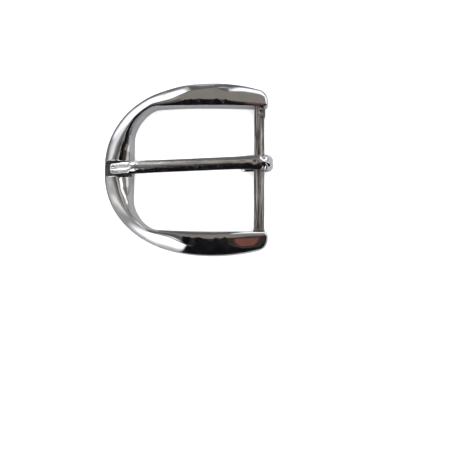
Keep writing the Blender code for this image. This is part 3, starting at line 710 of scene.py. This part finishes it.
def polished_plating(name, wave_depth, drawn):
    """Bright plating over hand-polished metal: soft waves, smears, fine scratches, pits and rubbed edges.

    Drawn says how strongly the streaks along the belt show, as bumps and as a brighter colour that is painted
    highlight. Where a point lies in the notch the metal is bare and rough, and its colour is painted dark as
    shade.
    """
    material, nodes, shader = metal(name)
    tone = nodes.step(nodes.noise(*TONE_NOISE), TONE_SPAN)
    streaks = nodes.noise(*DRAWN_NOISE)
    pits = nodes.step(nodes.noise(*PIT_NOISE), PIT_SPAN)
    pits = nodes.math("MULTIPLY", pits, nodes.step(nodes.noise(*PIT_PATCH_NOISE), PIT_PATCH_SPAN))
    scratches = nodes.math("MAXIMUM", *(nodes.lines(*one_set) for one_set in SCRATCHES))
    scratch_patches = nodes.step(nodes.noise(*SCRATCH_PATCH_NOISE), SCRATCH_PATCH_SPAN)
    scratches = nodes.math("MULTIPLY", scratches, scratch_patches)
    edge = nodes.step(nodes.add("ShaderNodeNewGeometry").outputs["Pointiness"], EDGE_SPAN)
    rubbed = nodes.math("MULTIPLY", edge, nodes.step(nodes.noise(*RUB_NOISE), RUB_SPAN))
    marks = nodes.math("MAXIMUM", scratches, pits)
    cast = nodes.add("ShaderNodeAttribute", attribute_name="cast").outputs["Fac"]
    grain = nodes.noise(*GRAIN_NOISE)

    colour = nodes.mix(tone, PLATING_WARM, PLATING_COOL)
    # Painted highlight: along the drawn streaks the colour turns far brighter.
    colour = nodes.mix(nodes.step(streaks, DRAWN_HIGHLIGHT_SPAN, (0.0, drawn)), colour, PLATING_DRAWN_HIGHLIGHT)
    colour = nodes.mix(nodes.math("MULTIPLY", rubbed, RUB_SHARE), colour, PLATING_RUBBED)
    colour = nodes.mix(nodes.math("MULTIPLY", pits, PIT_SHARE), colour, PIT_DARK)
    # Painted shade: in the notch the colour turns near black, with a lighter grain.
    colour = nodes.mix(cast, colour, nodes.mix(nodes.step(grain, GRAIN_SPAN), CAST_SHADED_DARK, CAST_SHADED_LIGHT))
    nodes.put(shader.inputs["Base Color"], colour)

    rough = nodes.step(nodes.noise(*SMEAR_NOISE), SMEAR_SPAN, SMEAR_ROUGH)
    rough = nodes.math("ADD", rough, nodes.math("MULTIPLY", marks, SCRATCH_ROUGH))
    rough = nodes.math("ADD", rough, nodes.math("MULTIPLY", rubbed, RUB_ROUGH))
    rough = nodes.math("MAXIMUM", rough, nodes.math("MULTIPLY", cast, CAST_ROUGH))
    nodes.put(shader.inputs["Roughness"], rough)

    normal = nodes.bump(nodes.noise(*WAVE_NOISE), wave_depth)
    normal = nodes.bump(nodes.noise(*FINE_WAVE_NOISE), FINE_WAVE, normal)
    normal = nodes.bump(streaks, DRAWN_DEPTH * drawn, normal)
    normal = nodes.bump(marks, -SCRATCH_DEPTH, normal)
    normal = nodes.bump(nodes.math("MULTIPLY", grain, cast), GRAIN_DEPTH, normal)
    nodes.put(shader.inputs["Normal"], normal)
    return material


def drawn_steel():
    """Plain drawn wire: long streaks along the bar, and patches of brown patina and dark spots, which are
    duller.
    """
    material, nodes, shader = metal("drawn_steel")
    streaks = nodes.noise(*STREAK_NOISE)
    fine = nodes.noise(*FINE_NOISE)
    patina = nodes.step(nodes.noise(*PATINA_NOISE), PATINA_SPAN)
    spots = nodes.step(nodes.noise(*SPOT_NOISE), SPOT_SPAN)

    colour = nodes.mix(nodes.step(streaks, STREAK_SPAN), STEEL_DARK, STEEL_LIGHT)
    colour = nodes.mix(nodes.math("MULTIPLY", nodes.step(fine, FINE_SPAN), FINE_SHARE), colour, STEEL_LIGHT)
    colour = nodes.mix(nodes.math("MULTIPLY", patina, PATINA_SHARE), colour, STEEL_BROWN)
    colour = nodes.mix(nodes.math("MULTIPLY", spots, SPOT_SHARE), colour, PIT_DARK)
    nodes.put(shader.inputs["Base Color"], colour)

    rough = nodes.step(streaks, STREAK_ROUGH_SPAN, STREAK_ROUGH)
    dull = nodes.math("MULTIPLY", nodes.math("MAXIMUM", patina, spots), DULL_ROUGH)
    nodes.put(shader.inputs["Roughness"], nodes.math("ADD", rough, dull))

    normal = nodes.bump(streaks, STREAK_DEPTH)
    normal = nodes.bump(fine, FINE_DEPTH, normal)
    normal = nodes.bump(spots, -SPOT_DEPTH, normal)
    nodes.put(shader.inputs["Normal"], normal)
    return material


def build_paper():
    """The plain pale sheet that the buckle lies on. Polished metal mirrors it darker than it looks."""
    material = bpy.data.materials.new("paper")
    material.use_nodes = True
    nodes = Nodes(material.node_tree)
    mirrored = nodes.add("ShaderNodeLightPath").outputs["Is Glossy Ray"]
    shade = nodes.mix(mirrored, PAPER_SEEN, PAPER_MIRRORED)
    nodes.put(material.node_tree.nodes["Principled BSDF"].inputs["Base Color"], shade)
    mesh = bpy.data.meshes.new("floor")
    corners = [(x * PAPER_HALF, y * PAPER_HALF, 0) for x, y in ((-1, -1), (1, -1), (1, 1), (-1, 1))]
    mesh.from_pydata(corners, [], [(0, 1, 2, 3)])
    mesh.materials.append(material)
    sheet = bpy.data.objects.new("floor", mesh)
    bpy.context.scene.collection.objects.link(sheet)
    return sheet


def soft_span(edge, soft):
    """The angles, in degrees turned to radians, between which an edge fades."""
    return math.radians(edge - soft), math.radians(edge + soft)


def room_mask(nodes, level, tilt, point, azimuth, half_width, near, far, side_soft, edge_soft):
    """Where a direction lies in one wedge of the room: 1 inside it, 0 outside, and soft in between."""
    x = nodes.math("SUBTRACT", level[0], point[0])
    y = nodes.math("SUBTRACT", level[1], point[1])
    c, s = math.cos(math.radians(azimuth)), math.sin(math.radians(azimuth))
    along = nodes.math("ADD", nodes.math("MULTIPLY", x, c), nodes.math("MULTIPLY", y, s))
    across = nodes.math("SUBTRACT", nodes.math("MULTIPLY", y, c), nodes.math("MULTIPLY", x, s))
    aside = nodes.math("ABSOLUTE", nodes.math("ARCTAN2", across, along))
    mask = nodes.step(aside, soft_span(half_width, side_soft), (1.0, 0.0))
    mask = nodes.math("MULTIPLY", mask, nodes.step(tilt, soft_span(far, edge_soft), (1.0, 0.0)))
    if near > 0:
        mask = nodes.math("MULTIPLY", mask, nodes.step(tilt, soft_span(near, edge_soft)))
    return mask


def spot_mask(nodes, level, middle, half):
    """Where a direction lies in an upright rectangle on the level plane."""
    parts = []
    for value, centre, size in zip(level, middle, half):
        aside = nodes.math("SUBTRACT", value, centre)
        parts.append(nodes.math("ABSOLUTE", nodes.math("DIVIDE", aside, size)))
    return nodes.step(nodes.math("MAXIMUM", *parts), SPOT_EDGE, (1.0, 0.0))


def build_world():
    """Even, soft light on everything that isn't a mirror, and the room for what is."""
    world = bpy.data.worlds.new("studio")
    bpy.context.scene.world = world
    world.use_nodes = True
    nodes = Nodes(world.node_tree)
    direction = nodes.add("ShaderNodeTexCoord").outputs["Generated"]
    tilt = nodes.math("ARCCOSINE", nodes.dot(direction, (0, 0, 1)))
    level = nodes.dot(direction, (1, 0, 0)), nodes.dot(direction, (0, 1, 0))
    colour = nodes.mix(nodes.step(tilt, soft_span(HORIZON_TILT, HORIZON_SOFT)), (*HAZE, 1), (*HORIZON, 1))
    for _, *where, shade in ROOM:
        colour = nodes.mix(room_mask(nodes, level, tilt, *where), colour, (*shade, 1))
    colour = nodes.mix(spot_mask(nodes, level, HAND_MIDDLE, HAND_HALF), colour, (*HAND_COLOUR, 1))
    glossy = nodes.add("ShaderNodeLightPath").outputs["Is Glossy Ray"]
    nodes.put(world.node_tree.nodes["Background"].inputs["Color"], nodes.mix(glossy, (*DAYLIGHT, 1), colour))


def build_camera():
    """The camera, nearly straight above the buckle."""
    data = bpy.data.cameras.new("camera")
    data.lens, data.sensor_width, data.clip_start = CAMERA_LENS, CAMERA_SENSOR, CAMERA_NEAREST
    camera = bpy.data.objects.new("camera", data)
    camera.location = CAMERA_PLACE
    camera.rotation_euler = tuple(math.radians(turn) for turn in CAMERA_TURN)
    bpy.context.scene.collection.objects.link(camera)
    bpy.context.scene.camera = camera


casting = build_frame(polished_plating("frame_plating", FRAME_WAVE, FRAME_DRAWN))
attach(casting, "frame_body")
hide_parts("frame")
bar = build_bar(drawn_steel())
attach(bar, "frame_body")
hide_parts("bar")
prong = build_prong(polished_plating("prong_plating", PRONG_WAVE, PRONG_DRAWN_AND_HIGHLIGHT))
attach(prong, "prong_body")
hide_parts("prong")

floor = build_paper()
build_world()
build_camera()
bpy.context.scene.view_settings.view_transform = "Standard"
